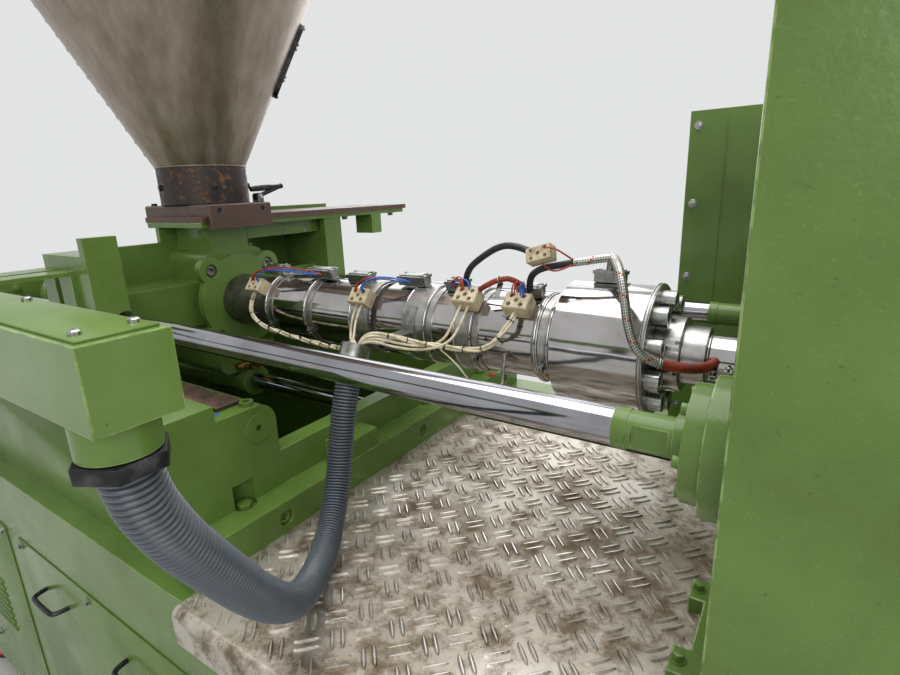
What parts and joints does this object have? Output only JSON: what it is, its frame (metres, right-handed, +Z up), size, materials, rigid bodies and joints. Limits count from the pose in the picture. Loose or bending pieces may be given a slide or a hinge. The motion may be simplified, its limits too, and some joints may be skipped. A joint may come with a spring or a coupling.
{
  "type": "injection unit of an injection moulding machine on its bed",
  "caption": "Injection unit of a moulding machine on its bed: heated barrel and hopper on a carriage that slides on chrome guide rods to the fixed platen.",
  "frame": {"origin": "on the floor under the middle of the machine's overall box", "axes": "+X along the barrel towards the nozzle and platen, +Y across to the far side, +Z up"},
  "size_m": [2.525, 1.458, 2.1645],
  "materials": {
    "enamel": "gloss green enamel on sheet and plate",
    "casting": "green enamel over sand-cast iron",
    "tread": "raised-bar tread plate, scuffed",
    "oxide_steel": "machined steel with a brown oxide",
    "chrome": "ground and hard chromed",
    "stainless": "polished stainless sheet",
    "dull_steel": "zinc plated or plain steel",
    "bronze": "turned bronze",
    "ceramic": "unglazed steatite",
    "mount_orange": "orange enamel on pressed steel",
    "mount_rubber": "moulded rubber",
    "hose_plastic": "corrugated plastic conduit",
    "lever_black": "black oxide on steel",
    "lead_white": "heat-proof woven sleeving"
  },
  "bodies": {
    "base": {"bed_side_near": "enamel", "bed_side_far": "enamel", "bed_ends": "enamel", "bed_tray": "enamel", "mount_pads": "mount_rubber", "mount_caps": "mount_orange", "mount_studs": "dull_steel", "deck_web": "enamel", "cross_beam": "casting", "beam_bolts": "dull_steel", "tread_plate": "tread", "slide_bases": "enamel", "slideways": "oxide_steel", "rear_tie": "enamel", "fixed_platen": "casting", "platen_beam": "enamel", "guide_rods": "chrome", "rod_ends": "enamel", "rod_brackets": "enamel", "guard_panel": "enamel", "piston_rod": "chrome"},
    "carriage": {"feed_housing": "casting", "guide_bushes": "bronze", "carriage_cylinder": "enamel", "barrel": "oxide_steel", "barrel_head": "oxide_steel", "heater_bands": "stainless", "band_rings": "dull_steel", "head_band": "stainless", "head_screws": "dull_steel", "nozzle_adapter": "oxide_steel", "nozzle": "oxide_steel", "nozzle_heater": "stainless", "drive_cylinders": "casting", "drive_rods": "chrome", "screw_shank": "oxide_steel", "drive_plate": "casting", "drive_motor": "enamel", "hopper_rail": "oxide_steel", "rail_beam": "enamel", "lead_hose": "hose_plastic", "lead_duct": "enamel", "duct_arms": "enamel", "hose_clip": "dull_steel", "terminal_boxes": "dull_steel", "connector_blocks": "ceramic", "tied_leads": "lead_white", "heater_conduit": "lead_white"},
    "hopper": {"hopper_slide": "oxide_steel", "hopper_base": "oxide_steel", "hopper_cone": "stainless", "hopper_drum": "stainless", "hopper_lid": "stainless", "sight_glass": "lever_black", "lever_clevis": "oxide_steel"},
    "lever": {"locking_lever": "lever_black"}
  },
  "joints": [
    {"name": "carriage_slide", "type": "slide", "parent": "base", "child": "carriage", "axis": [1, 0, 0], "range_m": [-0.05, 0.16]},
    {"name": "hopper_slide_joint", "type": "slide", "parent": "carriage", "child": "hopper", "axis": [0, 1, 0], "range_m": [0, 0.45]},
    {"name": "lever_turn", "type": "hinge", "parent": "hopper", "child": "lever", "pos_m": [-0.2165, 0.098, 1.483], "axis": [1, 0, 0], "range_deg": [-20, 40]}
  ]
}
